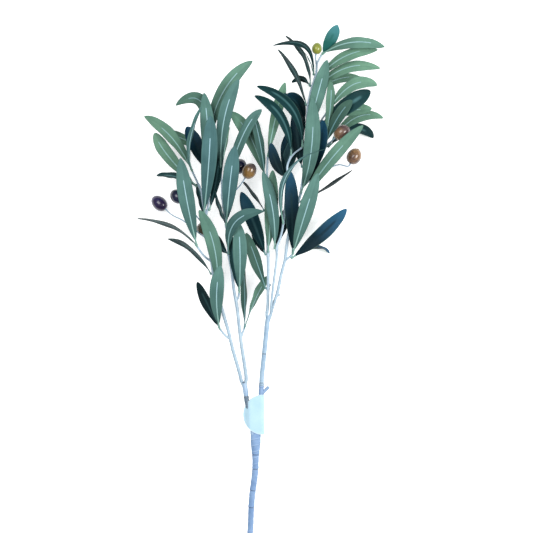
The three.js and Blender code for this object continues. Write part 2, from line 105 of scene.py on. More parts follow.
def route(points, pitch):
    """A smooth line through route points, with a place about every pitch millimetres. Each stretch is a
    cubic in the chord length; its slope at a point is the weighted mean of the chords on both sides."""
    corners = lay(points)
    reach = lengths(corners)
    at = np.linspace(0, reach[-1], max(4, int(reach[-1] / (pitch * MM)) + 1))
    slopes = np.gradient(corners, reach, axis=0)
    part = np.clip(np.searchsorted(reach, at, side="right") - 1, 0, len(reach) - 2)
    chord = (reach[part + 1] - reach[part])[:, None]
    t = (at - reach[part])[:, None] / chord
    return (
        (2 * t**3 - 3 * t**2 + 1) * corners[part]
        + (t**3 - 2 * t**2 + t) * chord * slopes[part]
        + (3 * t**2 - 2 * t**3) * corners[part + 1]
        + (t**3 - t**2) * chord * slopes[part + 1]
    )


def directions(line, up=UP):
    """At each place of a line: the direction to its right, square to both its heading and up, which is
    one direction for all or one for each place; and the direction over it, square to the heading."""
    heading = unit(np.gradient(line, axis=0))
    right = unit(np.cross(heading, up))
    return right, np.cross(right, heading)


def turns(sides):
    """The angles of a ring's corners: a whole turn shared out evenly."""
    return np.linspace(0, 2 * np.pi, sides, endpoint=False)


def placed(line, right, over, across, rise):
    """A grid of corners: each place of the line, plus so far across to its right, plus so far over it."""
    return line[:, None] + right[:, None] * across[..., None] + over[:, None] * rise[..., None]


def round_chart(sides, along):
    """The chart of a ring grid: the share of the way round a ring, and the ring's place along."""
    return np.stack(np.broadcast_arrays(np.linspace(0, 1, sides + 1)[None], along[:, None]), axis=-1)


def tube(line, wide, high=None, sides=16, material=0, marks=None):
    """A closed tube: round each place of the line, an oval ring of corners at half width times the cosine
    to the right and half height times the sine upwards. Sizes are in metres: one for all, a column
    with one for each ring, or a grid with one for each corner."""
    high = wide if high is None else high
    turn = turns(sides)
    rings = placed(line, *directions(line), wide * np.cos(turn), high * np.sin(turn))
    chart = round_chart(sides, lengths(line))
    return {"rings": rings, "chart": chart, "material": material, "marks": marks or {}}


def skin_faces(rows, sides):
    """Corner numbers of a ring grid: four for each quad between two rings, and three for each end fan."""
    i, j = np.meshgrid(np.arange(rows - 1), np.arange(sides), indexing="ij")
    k = (j + 1) % sides
    quads = np.stack([i * sides + j, i * sides + k, (i + 1) * sides + k, (i + 1) * sides + j], -1)
    around = np.arange(sides)
    beside = (around + 1) % sides
    last = (rows - 1) * sides
    first_fan = np.stack([beside, around, np.full(sides, rows * sides)], -1)
    last_fan = np.stack([last + around, last + beside, np.full(sides, rows * sides + 1)], -1)
    return quads.reshape(-1, 4), np.concatenate([first_fan, last_fan])


def build(name, shells, materials, crease=50):
    """One piece from closed shells. Each shell is a grid of rings, closed at both ends by a fan to the
    ring's middle. Its faces are turned over if its volume, a sixth of the sum of the corners' triple
    products, comes out negative."""
    points, faces, charts, slots, marks = [], [], [], [], {}
    labels = sorted({label for shell in shells for label in shell["marks"]})
    for shell in shells:
        rings = shell["rings"]
        rows, sides = rings.shape[:2]
        start = sum(map(len, points))
        corners = np.concatenate([rings.reshape(-1, 3), rings[[0, -1]].mean(1)])
        quads, fans = skin_faces(rows, sides)
        halves = np.concatenate([quads[:, :3], quads[:, [0, 2, 3]], fans])
        a, b, c = (corners[halves[:, n]] - corners[0] for n in range(3))
        chart = shell["chart"]
        i, j = np.divmod(np.arange((rows - 1) * sides), sides)
        quad_chart = np.stack([chart[i, j], chart[i, j + 1], chart[i + 1, j + 1], chart[i + 1, j]], 1)
        ends = np.repeat([0, rows - 1], sides)
        j = np.tile(np.arange(sides), 2)
        fan_chart = np.stack([chart[ends, j], chart[ends, j + 1], chart[ends, j]], 1)
        fan_chart[:sides, :2] = fan_chart[:sides, 1::-1]
        if (a * np.cross(b, c)).sum() < 0:
            quads, fans = quads[:, ::-1], fans[:, ::-1]
            quad_chart, fan_chart = quad_chart[:, ::-1], fan_chart[:, ::-1]
        faces += (quads + start).tolist() + (fans + start).tolist()
        charts += [quad_chart.reshape(-1, 2), fan_chart.reshape(-1, 2)]
        slots.append(np.full(len(quads) + len(fans), shell["material"]))
        points.append(corners)
        for label in labels:
            laid = np.broadcast_to(shell["marks"].get(label, 0), (rows, sides)).astype(float)
            marks.setdefault(label, []).append(np.concatenate([laid.ravel(), laid[[0, -1]].mean(1)]))
    mesh = bpy.data.meshes.new(name)
    mesh.from_pydata(np.concatenate(points), [], faces)
    flat_chart = np.concatenate(charts).ravel().astype(np.float32)
    mesh.uv_layers.new(name="Chart").uv.foreach_set("vector", flat_chart)
    mesh.polygons.foreach_set("material_index", np.concatenate(slots))
    mesh.shade_smooth()
    mesh.set_sharp_from_angle(angle=math.radians(crease))
    for label, values in marks.items():
        mesh.attributes.new(label, "FLOAT", "POINT").data.foreach_set("value", np.concatenate(values))
    for material in materials:
        mesh.materials.append(material)
    piece = bpy.data.objects.new(name, mesh)
    bpy.context.scene.collection.objects.link(piece)
    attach(piece, "root")
    return piece


def paint(red, green, blue):
    """A screen colour from 0 to 255 as light: under 4% the share over 12.92, else the share plus 0.055,
    over 1.055, to the power 2.4."""
    share = np.array([red, green, blue]) / 255
    light = np.where(share <= 0.04045, share / 12.92, ((share + 0.055) / 1.055) ** 2.4)
    return (*light.tolist(), 1.0)


def fill(tree, made, inputs):
    """Gives a node its inputs, by name or number: a socket is linked, and anything else is set."""
    for key, value in inputs.items():
        if isinstance(value, bpy.types.NodeSocket):
            tree.links.new(value, made.inputs[key])
        else:
            made.inputs[key].default_value = value


def add(tree, kind, inputs=None, **settings):
    """Adds a shader node with its inputs and settings."""
    made = tree.nodes.new("ShaderNode" + kind)
    for key, value in settings.items():
        setattr(made, key, value)
    fill(tree, made, inputs or {})
    return made


def number(tree, operation, first, second):
    """The result of one sum on two numbers."""
    return add(tree, "Math", {0: first, 1: second}, operation=operation).outputs[0]


def mixed(tree, share, first, second, way="MIX"):
    """Two colours mixed: all of the first where the share is 0, all of the second where it is 1."""
    return add(tree, "Mix", {0: share, 6: first, 7: second}, data_type="RGBA", blend_type=way).outputs[2]


def spread(tree, value, low, high, start=0.0, end=1.0):
    """A value stretched so that low becomes start and high becomes end, and held there outside them."""
    return add(tree, "MapRange", {0: value, 1: low, 2: high, 3: start, 4: end}).outputs[0]


def shaded_by(tree, base, pattern, low, high, most, grey):
    """A colour under soft light of a grey, by the share of a pattern: none at low, and most at high."""
    share = spread(tree, pattern, low, high, 0, most)
    return mixed(tree, share, base, (grey, grey, grey, 1), "SOFT_LIGHT")


def mark(tree, name):
    """A number that the mesh holds at each of its corners."""
    return add(tree, "Attribute", attribute_name=name).outputs["Fac"]


def finish_of(name, **settings):
    """A new material: its node tree, and its shader with the numbers that are the same all over."""
    material = bpy.data.materials.new(name)
    material.use_nodes = True
    tree = material.node_tree
    shader = tree.nodes["Principled BSDF"]
    for key, value in settings.items():
        shader.inputs[key.replace("_", " ").title().replace("Ior", "IOR")].default_value = value
    return material, tree, shader


def wear(tree, shader, color, roughness, height, depth):
    """Links a material's colour, roughness and relief to its shader. depth is the relief in metres."""
    relief = add(tree, "Bump", {"Strength": 1, "Distance": depth, "Height": height}).outputs[0]
    fill(tree, shader, {"Base Color": color, "Roughness": roughness, "Normal": relief})


def noise(tree, place, scale, detail, roughness=0.5, dimensions="3D"):
    """Noise at each place, as a number. Three scales, one for each axis, draw it out one way."""
    if isinstance(scale, tuple):
        place, scale = add(tree, "Mapping", {"Vector": place, "Scale": scale}).outputs[0], 1
    inputs = {"Vector": place, "Scale": scale, "Detail": detail, "Roughness": roughness}
    return add(tree, "TexNoise", inputs, noise_dimensions=dimensions).outputs["Fac"]


def handling_group():
    """Cloudy wear that every finish shares: a slow drift between two shades, and a fine grain."""
    tree = bpy.data.node_groups.new("handling", "ShaderNodeTree")
    for way, label, kind in (
        ("INPUT", "Place", "Vector"), ("INPUT", "Light", "Color"), ("INPUT", "Dark", "Color"),
        ("INPUT", "Cloud Size", "Float"), ("INPUT", "Grain Size", "Float"),
        ("OUTPUT", "Color", "Color"), ("OUTPUT", "Cloud", "Float"), ("OUTPUT", "Grain", "Float"),
    ):
        tree.interface.new_socket(label, in_out=way, socket_type="NodeSocket" + kind)
    given = tree.nodes.new("NodeGroupInput").outputs
    drift = spread(tree, noise(tree, given["Place"], given["Cloud Size"], 4, 0.6), 0.32, 0.68)
    grain = noise(tree, given["Place"], given["Grain Size"], 3, 0.6)
    shade = mixed(tree, drift, given["Dark"], given["Light"])
    flecked = shaded_by(tree, shade, grain, 0.3, 0.7, 0.22, 1)
    fill(tree, tree.nodes.new("NodeGroupOutput"), {"Color": flecked, "Cloud": drift, "Grain": grain})
    return tree


handling = handling_group()


def handled(tree, light, dark, cloud_size, grain_size):
    """The outputs of the shared wear, placed in a material with its own two shades and sizes."""
    made = tree.nodes.new("ShaderNodeGroup")
    made.node_tree = handling
    fill(tree, made, {"Place": add(tree, "TexCoord").outputs["Object"], "Light": light, "Dark": dark,
                      "Cloud Size": cloud_size, "Grain Size": grain_size})
    return made.outputs


def tape_finish():
    """Florist's tape: crimped crepe, paler along the edge of each turn (the lap mark), and darker in the
    grooves, with painted shade on the sides and underside (the seam mark)."""
    material, tree, shader = finish_of("florist tape", specular_ior_level=0.35, sheen_weight=0.15)
    worn = handled(tree, paint(128, 156, 192), paint(102, 132, 172), 90, 1400)
    chart = add(tree, "UVMap", uv_map="Chart").outputs[0]
    crimps = noise(tree, chart, (60, 900, 1), 2)
    lapped = mixed(tree, mark(tree, "lap"), worn["Color"], paint(158, 184, 214))
    # The seam mark darkens the grooves and paints shade on the stem's sides and underside.
    seamed_and_shaded = mixed(tree, mark(tree, "seam"), lapped, paint(48, 68, 98))
    grain = number(tree, "MULTIPLY", worn["Grain"], 0.3)
    height = number(tree, "ADD", number(tree, "MULTIPLY", crimps, 0.7), grain)
    wear(tree, shader, seamed_and_shaded, spread(tree, worn["Grain"], 0.3, 0.7, 0.62, 0.8), height, 0.0002)
    return material


STEM_ROUTE = [[-11, -181, 3.4], [-7, -121, 10], [-5, -80, 15.5], [-1, -46, 20.5], [-0.6, -27, 23.5],
              [-0.6, -14, 25.5], [-0.5, -3, 26.8], [-0.5, 6, 27]]
STEM_JOINTS = (-26.4, -43.8, -70, -90.7, -128)
TAPE_TURN = 7.5  # millimetres of stem for each turn of the tape
TAPE_LAP = 0.28  # how far a turn's edge stands proud
STEM_SIDE_SHADE = 0.4  # how dark the painted shade of the seam mark makes the stem's sides


def wrapped_stem():
    """The stem: a half width that grows from a thin tail to the shoulder, plus a saw edge that winds
    round it, one step each turn, plus a ring with a groove under it at each joint. The seam mark is
    a bell at each groove and at each turn's edge, plus painted shade on the sides and underside."""
    line = route(STEM_ROUTE, pitch=0.5)
    reach = (line[:, 1] - fork[1])[:, None] / MM
    sides = 48
    turn = np.linspace(0, 1, sides, endpoint=False)[None]
    winding = np.mod(reach / TAPE_TURN + turn, 1)
    lap = TAPE_LAP * (1 - winding) * ease(winding, 0, 0.08)
    joints = sum(0.4 * bump(reach, at, 0.9) - 0.25 * bump(reach, at - 1.7, 0.7) for at in STEM_JOINTS)
    rounded = 1 - 0.25 * ease(-reach, 180.2, 181)
    wide = (3.35 + 0.35 * ease(reach, -120, -40) + 2.3 * ease(reach, -38, -8)) * rounded + lap + joints
    high = (3.3 + 0.3 * ease(reach, -120, -40) - 0.2 * ease(reach, -14, -4)) * rounded + lap + joints
    seam_and_shade_share = sum(bump(reach, at - 1.4, 0.55) for at in STEM_JOINTS)
    # Painted shade on the stem's sides and underside, as if lit from above.
    seam_and_shade_share = seam_and_shade_share + STEM_SIDE_SHADE * shade_by_facing(np.sin(2 * np.pi * turn))
    seam_and_shade_share = np.clip(0.85 * seam_and_shade_share + 0.4 * bump(winding, 0.03, 0.045) * ease(reach, -40, -30), 0, 1)
    lap_edge = 0.55 * bump(winding, 0.14, 0.09) * ease(reach, -60, -25)
    return tube(line, wide * MM, high * MM, sides, marks={"seam": seam_and_shade_share, "lap": lap_edge})


main_stem = build("wrapped_main_stem", [wrapped_stem()], [tape_finish()])
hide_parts("main_stem")


def cut_wire_finish():
    """Sheared steel wire: grey, with a fine grain and a little brown rust in clouds."""
    material, tree, shader = finish_of("cut steel wire", metallic=0.85)
    worn = handled(tree, paint(150, 152, 156), paint(96, 84, 78), 700, 6000)
    rough = spread(tree, worn["Grain"], 0.3, 0.7, 0.35, 0.6)
    wear(tree, shader, worn["Color"], rough, worn["Grain"], 0.00005)
    return material


WIRE_RADIUS, WIRE_ASIDE = 0.85, 1.0
WIRE_RUN = np.array([[0, 1, 0], [-0.03, 0, 0], [-0.06, -0.8, -0.1]])  # from the middle of the cut
wires = [
    tube(route(STEM_ROUTE[0] + WIRE_RUN + [aside, 0, 0], pitch=0.2), WIRE_RADIUS * MM, sides=20)
    for aside in (-WIRE_ASIDE, WIRE_ASIDE)
]
wire_ends = build("cut_wire_ends", wires, [cut_wire_finish()])

# ---- The two branches ----
# Each branch is a wire moulded over in pale blue plastic. Where it leaves the tape it wears a sleeve
# of another shade with a collar ring at its upper end, and the right one has a shoot cut off short.
# The left sleeve's darkness is partly painted shadow of the tag.

LEFT_ROUTE = [[-3.8, -3.6, 27], [-5, 10, 27], [-8, 24, 27], [-11, 36, 27.5], [-12.4, 47, 29],
              [-13.8, 56, 30], [-14.6, 60.5, 30.3]]
RIGHT_ROUTE = [[2.9, -3.6, 27], [4, 20, 27], [6, 46, 27.5], [7, 66, 29], [9.6, 92, 31], [11.4, 110, 32],
               [14.2, 136, 33], [14.8, 140, 33]]
CUT_SHOOT = [[5.6, 44, 27.5], [11, 49.5, 28], [15.5, 54, 28.5]]
BRANCH_SIDE_SHADE = 0.65  # how dark the painted shade of the line mark makes a branch's sides


def moulded_finish(name, light, dark, sleeve, shadow):
    """Satin moulded plastic. The sleeve mark turns it to the sleeve's shade. The line mark darkens it in
    the grooves at joints and forks, and paints shade on the sides and undersides."""
    material, tree, shader = finish_of(name, specular_ior_level=0.5, coat_weight=0.12, coat_roughness=0.3)
    worn = handled(tree, light, dark, 110, 1800)
    sleeved = mixed(tree, mark(tree, "sleeve"), worn["Color"], sleeve)
    # The line mark's shadow colour is partly painted shade on the sides and undersides.
    lined = mixed(tree, mark(tree, "line"), sleeved, shadow)
    wear(tree, shader, lined, spread(tree, worn["Cloud"], 0, 1, 0.36, 0.52), worn["Grain"], 0.00012)
    return material


branch_plastic = moulded_finish("moulded branch plastic", paint(148, 174, 194), paint(122, 150, 176),
                                paint(122, 150, 186), paint(52, 64, 78))
# The left sleeve's dark colour is partly its own tint and partly painted shadow of the tag round it.
sleeve_and_shadow_plastic = moulded_finish("smoky_and_shadowed sleeve plastic", paint(152, 176, 200), paint(130, 158, 188),
                                paint(92, 112, 130), paint(40, 50, 60))


def branch(points, wide, rings, sleeve, grooves):
    """A branch: a round tube whose radius grows by a bell at each ring. The sleeve mark is laid on by
    reach up the branch; the line mark by reach too, plus painted shade on the sides that face down."""
    line = route(points, pitch=0.4)
    reach = (line[:, 1] - fork[1])[:, None] / MM
    sides = 32
    # Painted shade on the branch's sides and underside.
    side_shade = BRANCH_SIDE_SHADE * shade_by_facing(np.sin(turns(sides)))
    grown = wide + sum(size * bump(reach, at, width) for at, size, width in rings)
    marks = {
        "sleeve": ease(reach, sleeve[0], sleeve[0] + 1.5) * (1 - ease(reach, sleeve[1] - 1, sleeve[1])),
        "line": np.clip(sum(share * bump(reach, at, 0.7) for at, share in grooves) + side_shade, 0, 1),
    }
    return tube(line, grown * MM, sides=sides, marks=marks)


# Each ring is its reach up the branch, how far it stands out (or in, below 0) and its half length.
LEFT_RINGS = [(41.2, 0.35, 0.8), (43.2, -0.2, 0.7), (50, 0.12, 4), (30, 0.15, 1)]
RIGHT_RINGS = [(54.2, 0.55, 1.0), (57.2, 0.5, 0.9), (58.6, -0.25, 0.6), (48, 0.3, 5), (92, 0.3, 0.9),
               (93.6, -0.2, 0.6), (126, 0.25, 2.5)]

left = branch(LEFT_ROUTE, 2.95, LEFT_RINGS, (24, 43), [(42.4, 0.8), (36.2, 0.3), (59.4, 1.0)])
left_branch = build("left_branch_moulding", [left], [sleeve_and_shadow_plastic])
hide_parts("left_branch")


def cut_shoot():
    """The shoot cut off short: a tube that thins a little past its foot and is rounded off at its cut."""
    line = route(CUT_SHOOT, pitch=0.3)
    along = lengths(line)[:, None] / MM
    end = along[-1, 0]
    radius = 2.05 - 0.15 * ease(along, 3, 10) - 0.5 * ease(along, end - 0.5, end)
    creases = 0.75 * bump(along, 2.6, 1.0) + 0.3 * ease(along, end - 0.35, end)
    return tube(line, radius * MM, sides=28, marks={"sleeve": 0.8, "line": creases})


right = branch(RIGHT_ROUTE, 2.85, RIGHT_RINGS, (44, 55.5), [(58.6, 0.6), (55.7, 0.35), (93.6, 0.7)])
right_branch = build("right_branch_moulding", [right, cut_shoot()], [branch_plastic])
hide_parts("right_branch")

# ---- Twigs ----
# Five twigs push into the branch ends. Each is moulded in one shot with its shoots, with a small
# swelling where every leaf or fruit stalk is plugged in and a cup at each open end.

twig_plastic = moulded_finish("moulded twig plastic", paint(162, 184, 198), paint(134, 158, 176),
                              paint(134, 160, 184), paint(76, 94, 112))
FUSE_CELL = 0.33 * MM
STUB_RADIUS = 1.15
TWIG_SIDE_SHADE = 0.75  # how dark the painted shade of the line mark makes a twig's sides
lines = {}  # the middle line of every twig and shoot, by name


def fused(piece):
    """Joins a piece's overlapping shells into one skin with soft inner corners: a remesh on a fine cell
    grid, then a few rounds of smoothing, both applied."""
    remesh = piece.modifiers.new("fuse", "REMESH")
    remesh.mode = "VOXEL"
    remesh.voxel_size = FUSE_CELL
    remesh.use_smooth_shade = True
    settle = piece.modifiers.new("settle", "SMOOTH")
    settle.factor = 0.5
    settle.iterations = 5
    evaluated = piece.evaluated_get(bpy.context.evaluated_depsgraph_get())
    mesh = bpy.data.meshes.new_from_object(evaluated)
    piece.modifiers.clear()
    piece.data = mesh
    mesh.name = piece.name
    mesh.shade_smooth()
    return mesh


def shoot_tube(name, points, start, end, sockets=(), rings=()):
    """One arm of a twig: a tapering round tube. Its radius grows by a bell at each socket and ring, and
    flares into a cup over its last two millimetres."""
    line = route(points, pitch=0.5)
    lines[name] = line
    reach = (line[:, 1] - fork[1]) / MM
    along = lengths(line) / MM
    grown = start + (end - start) * along / along[-1]
    grown += sum(0.45 * bump(reach, at, 1.7) for at in sockets)
    grown += sum(0.3 * bump(reach, at, 0.8) for at in rings)
    grown += 0.35 * ease(along, along[-1] - 2.2, along[-1] - 0.6)
    grown -= 0.25 * ease(along, along[-1] - 0.5, along[-1])
    return tube(line, grown[:, None] * MM, sides=20)


def twig(name, node, arms, stubs=()):
    """A whole twig: its arms and the stubs of shoots that were trimmed off, fused into one moulding. Its
    line mark is painted shade, set at each corner by the way the corner faces."""
    shells = [shoot_tube(*arm) for arm in arms]
    shells += [tube(route(stub, pitch=0.3), STUB_RADIUS * MM, sides=16) for stub in stubs]
    piece = build(name, shells, [twig_plastic])
    mesh = fused(piece)
    facing = np.empty(len(mesh.vertices) * 3, np.float32)
    mesh.vertices.foreach_get("normal", facing)
    # Painted shade on the twig's sides and underside.
    side_shade = TWIG_SIDE_SHADE * shade_by_facing(facing[2::3])
    mesh.attributes.new("line", "FLOAT", "POINT").data.foreach_set("value", side_shade)
    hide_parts(node)


# An arm is its name, its route, its radius at each end, and the reaches of its sockets and its rings.
twig("outer_left_twig_moulding", "outer_left_twig", [
    ("outer", [
        [-14.2, 54, 30], [-17.2, 60, 30], [-20, 71, 31], [-24, 85, 32], [-28, 99, 33], [-33.5, 122, 34],
        [-38.5, 139, 35], [-45.5, 165, 36], [-51, 188, 37], [-54, 207, 37.5], [-59, 230, 38],
        [-61, 248, 38], [-60, 262, 38.5],
    ], 2.2, 1.5, (168, 190, 232, 238, 246, 256), (98, 140)),
    ("outer_low", [[-31, 111, 33.5], [-37, 116, 35], [-43, 123, 37]], 1.4, 1.2),
    ("outer_side", [[-54, 205, 37.5], [-61, 210, 40], [-66, 216, 43], [-70, 222, 46]], 1.4, 1.2),
    ("outer_top_left", [
        [-60, 260, 38.5], [-63.5, 275, 40], [-66, 290, 41.5], [-70, 299, 43], [-76, 312, 45],
    ], 1.4, 1.2, (295,)),
    ("outer_top_right", [
        [-60, 260, 38.5], [-57.5, 270, 40], [-56, 290, 41], [-57, 312, 41.5], [-60, 335, 41],
    ], 1.4, 1.2, (302, 310)),
])

twig("inner_left_twig_moulding", "inner_left_twig", [
    ("inner", [
        [-14, 54, 30.4], [-12, 62, 31], [-13, 74, 32], [-15.6, 92, 34], [-17.6, 105, 35],
        [-20.4, 128, 36.5], [-22.4, 147, 37.5], [-26.4, 170, 39], [-29.4, 195, 40], [-32, 208, 40.5],
        [-34.6, 240, 41], [-37.5, 259, 41.5], [-40.8, 285, 42],
    ], 2.2, 1.4, (213, 247, 270, 281), (88,)),
    ("inner_low", [[-18.4, 111, 35.5], [-16, 119, 35.5], [-14.2, 124, 35.5]], 1.3, 1.2),
    ("inner_middle", [[-23.8, 157, 38], [-21, 162, 39.5], [-20.2, 167, 41]], 1.3, 1.2),
    ("inner_top", [[-40.8, 282, 42], [-41, 296, 43], [-42, 310, 44]], 1.3, 1.2),
])

twig("right_branch_left_twig_moulding", "right_branch_left_twig", [
    ("right_left", [
        [14.2, 132, 32.8], [13, 140, 33], [14, 150, 33.5], [14.4, 170, 34], [14.4, 214, 35],
        [13.2, 242, 35], [12, 266, 35], [13, 302, 35], [14, 330, 34],
    ], 2.0, 1.3, (172, 212, 216, 266, 305), (144,)),
], stubs=[[[14.4, 173, 34], [16.4, 175.4, 34.4], [18, 177, 34.8]]])

twig("right_branch_middle_twig_moulding", "right_branch_middle_twig", [
    ("right_middle", [
        [18, 142, 34], [18.2, 151, 37], [19.6, 166, 38.5], [22.8, 192, 39.5], [25, 211, 40],
        [25, 222, 40.5], [28.8, 232, 41], [32.4, 248, 41], [34.8, 272, 41], [38, 306, 41.5],
        [37.6, 319, 42], [42, 331, 42],
    ], 1.5, 1.3, (219, 250, 304)),
    ("right_middle_shoot", [[37.8, 322, 42], [44, 332, 42], [55, 341, 42]], 1.2, 1.1),
])

twig("right_branch_right_twig_moulding", "right_branch_right_twig", [
    ("right", [
        [14.4, 132, 32.8], [17.4, 140, 33], [19.2, 147, 33], [22.4, 157, 33.5], [25.6, 167, 34],
        [30, 188, 34], [35, 208, 34.5], [37, 224, 35], [41, 246, 35], [49, 272, 35.5], [53.4, 285, 36],
        [56, 302, 36], [58.4, 325, 36.5], [61, 368, 38], [62.4, 392, 39], [67, 413, 39.5], [72, 429, 40],
        [73, 444, 40],
    ], 2.0, 1.3, (276, 287, 292, 297, 354, 392, 408, 414, 424, 427), (150,)),
    ("cluster", [[34, 205, 34.5], [39, 209, 36], [43, 212, 37]], 1.4, 1.3),
    ("ribbed", [[59.5, 345, 37], [68, 357, 39], [77, 372, 42], [84, 382, 44]], 1.3, 1.1, (370,)),
    ("fruit", [[58, 318, 36.5], [74, 332, 35], [87, 346, 34]], 1.3, 1.1, (343,)),
    ("tip", [[72.6, 441, 40], [75.6, 447, 40.5], [78.4, 452, 41]], 1.1, 1.0),
], stubs=[[[24.4, 163, 33.8], [27.2, 164, 34.2], [29, 164.8, 34.6]]])

# ---- Paper tag ----
# A round card label, folded in half round both branches, with its two halves stuck together on the
# left. The fold is a straight edge on the right, and the printing is left off.

TAG_CENTRE = (8.4, 20.4)
TAG_RADIUS = 24.0
TAG_PAPER = 0.45
FOLD_X, FOLD_Z, FOLD_RADIUS = 5.4, 27.0, 4.4
FLAT_SHARE = 0.72  # the share of a row's corners that lies before the fold


def tag_shell():
    """The card as one closed shell. A row runs from the left edge over the branches, round the fold, back
    underneath, and home again inside by the card's thickness. At the share v of the radius up the
    tag, its left edge is the centre less the radius times the root of one less v squared. The two
    halves stand apart by the fold's radius over the branches, and meet towards the left edge."""
    rows, across = 97, 64
    v = np.sin(np.linspace(-0.495, 0.495, rows) * np.pi)[:, None]
    left_edge = TAG_CENTRE[0] - TAG_RADIUS * np.sqrt(1 - v**2)
    right_edge = np.minimum(TAG_CENTRE[0] + TAG_RADIUS * np.sqrt(1 - v**2), FOLD_X + FOLD_RADIUS)
    share = np.linspace(0, 1, across)[None]
    folded = share > FLAT_SHARE
    turn = np.clip((share - FLAT_SHARE) / (1 - FLAT_SHARE), 0, 1) * np.pi / 2
    span = right_edge - left_edge
    flat_end = np.clip(FOLD_X, left_edge + 0.6 * span, right_edge - 0.05 * span)
    x = left_edge + (flat_end - left_edge) * np.clip(share / FLAT_SHARE, 0, 1) ** 0.8
    x = np.where(folded, flat_end + (right_edge - flat_end) * np.sin(turn), x)
    sag = 0.35 * ease(-v, 0.55, 1.0) + 0.25 * ease(v, 0.7, 1.0)
    half = FOLD_RADIUS * ease(x, -15.5, -6.5) * np.where(folded, np.cos(turn), 1) * (1 - 0.2 * sag)
    half = np.maximum(half, 0.5 * TAG_PAPER)
    y = TAG_CENTRE[1] + TAG_RADIUS * v + 0 * share
    top = np.stack([x, y, FOLD_Z + half], -1)
    under = np.stack([x, y, FOLD_Z - half], -1)
    outer = np.concatenate([top, under[:, -2::-1]], axis=1)
    inner_top = top - [0, 0, TAG_PAPER]
    inner_top[..., 0] -= TAG_PAPER * np.where(folded, np.sin(turn), 0) * np.minimum(1, span / 5)
    inner_top[..., 2] = np.maximum(inner_top[..., 2], FOLD_Z + 0.02)
    inner_under = inner_top * [1, 1, -1] + [0, 0, 2 * FOLD_Z]
    inner = np.concatenate([inner_top, inner_under[:, -2::-1]], axis=1)[:, ::-1]
    loop = np.concatenate([outer, inner], axis=1)
    rings = loop * MM + fork
    from_rim = TAG_RADIUS - np.linalg.norm(loop[..., :2] - TAG_CENTRE, axis=-1)
    edge = np.clip(1 - from_rim / 0.9, 0, 1)
    chart = np.concatenate([loop, loop[:, :1]], axis=1)[..., :2] * MM
    return {"rings": rings, "chart": chart, "material": 0, "marks": {"edge": edge}}


def card_finish():
    """Uncoated pale card: fine fibres that run one way, faint clouding, and a paler cut edge."""
    material, tree, shader = finish_of("label card", specular_ior_level=0.25)
    worn = handled(tree, paint(170, 202, 218), paint(160, 194, 211), 70, 3200)
    fibres = noise(tree, add(tree, "TexCoord").outputs["Object"], (2600, 500, 900), 3)
    strands = mixed(tree, spread(tree, fibres, 0.45, 0.75, 0, 0.25), worn["Color"], paint(196, 220, 232))
    rim = mixed(tree, mark(tree, "edge"), strands, paint(202, 218, 226))
    wear(tree, shader, rim, spread(tree, fibres, 0.3, 0.7, 0.7, 0.9), fibres, 0.00006)
    return material


paper_tag = build("folded_paper_tag", [tag_shell()], [card_finish()], crease=60)
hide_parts("paper_tag")

# ---- Leaves ----
# A leaf is a blade punched from satin fabric, printed teal to sage on its ribbed side and dark on its
# back, with a plastic rib moulded along about three quarters of it. The rib's stalk plugs into the twig.

RINGS = 9  # rings of corners in each leaf of the CAD model
BLADE_THICK = 0.42
BLADE_START = 0.05  # the share of the leaf that is bare stalk
BLADE_ROWS, BLADE_ACROSS = 64, 17
RIB_ENDS = (0.68, 0.84)  # shortest and longest rib, as shares of the leaf
RIB_FOOT, RIB_NOSE, RIB_SIDES = 1.05, 0.52, 16
TIP_HALF = 0.12  # half the blade's width at its very tip
RIPPLE = 0.45  # how far the blade's edges rise and fall
SWELL, TAPER = 0.85, 0.66  # how the blade widens from its foot, and narrows to its tip
# The deepest front, back and rib colours are painted shade, for leaves that lie under others.
FRONT_TEAL, FRONT_GREEN, FRONT_SHADE = paint(79, 117, 118), paint(110, 150, 126), paint(18, 48, 50)
FRONT_MARGIN = paint(140, 180, 160)
# The paler back colour is a painted highlight along the raised rib.
BACK_GREEN, BACK_RIB_HIGHLIGHT, BACK_SHADE = paint(24, 60, 62), paint(82, 126, 128), paint(2, 20, 27)
# The tip colours of the blue and lit backs are painted sheen, and one back is painted as if lit.
BLUE_FOOT, BLUE_SHEEN_TIP = paint(3, 33, 43), paint(40, 96, 130)
LIT_FOOT, LIT_SHEEN_TIP = paint(30, 92, 86), paint(78, 140, 146)
RIB_PALE, RIB_GREEN, RIB_SHADE = paint(158, 194, 206), paint(118, 158, 144), paint(66, 104, 112)
# Every pair of a ring's four corners, and the other two for each.
PAIRS = np.array([[0, 1], [0, 2], [0, 3], [2, 3], [1, 3], [1, 2]])
OTHERS = PAIRS[[3, 4, 5, 0, 1, 2]]


def leaf_frames(node):
    """The corner rings of each leaf in a CAD node, foot first. The end of a leaf is the corner where just
    four edges meet, and each ring is one edge further from it. A node of two leaves runs from one tip
    to the foot and on to the other tip; the leaf whose tip is further left comes first."""
    copy = bmesh.new()
    copy.from_mesh(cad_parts[node].data)
    bmesh.ops.remove_doubles(copy, verts=copy.verts, dist=1e-6)
    copy.verts.index_update()
    corners = np.array([corner.co for corner in copy.verts])
    ends = np.array([[corner.index for corner in edge.verts] for edge in copy.edges])
    copy.free()
    joined = np.zeros((len(corners), len(corners)), bool)
    joined[ends[:, 0], ends[:, 1]] = joined[ends[:, 1], ends[:, 0]] = True
    steps = np.full(len(corners), -1)
    steps[np.flatnonzero(joined.sum(0) == 4)[0]] = 0
    front = steps == 0
    while front.any():
        front = joined[front].any(0) & (steps < 0)
        steps[front] = steps.max() + 1
    rings = corners[np.argsort(steps, kind="stable")][1:-1].reshape(-1, 4, 3)
    if len(rings) == 2 * RINGS:
        return sorted([rings[:RINGS][::-1], rings[RINGS:]], key=lambda leaf: leaf[-1, 0, 0])
    sizes = np.ptp(rings, axis=1).sum(1)
    return [rings if sizes[0] > sizes[-1] else rings[::-1]]


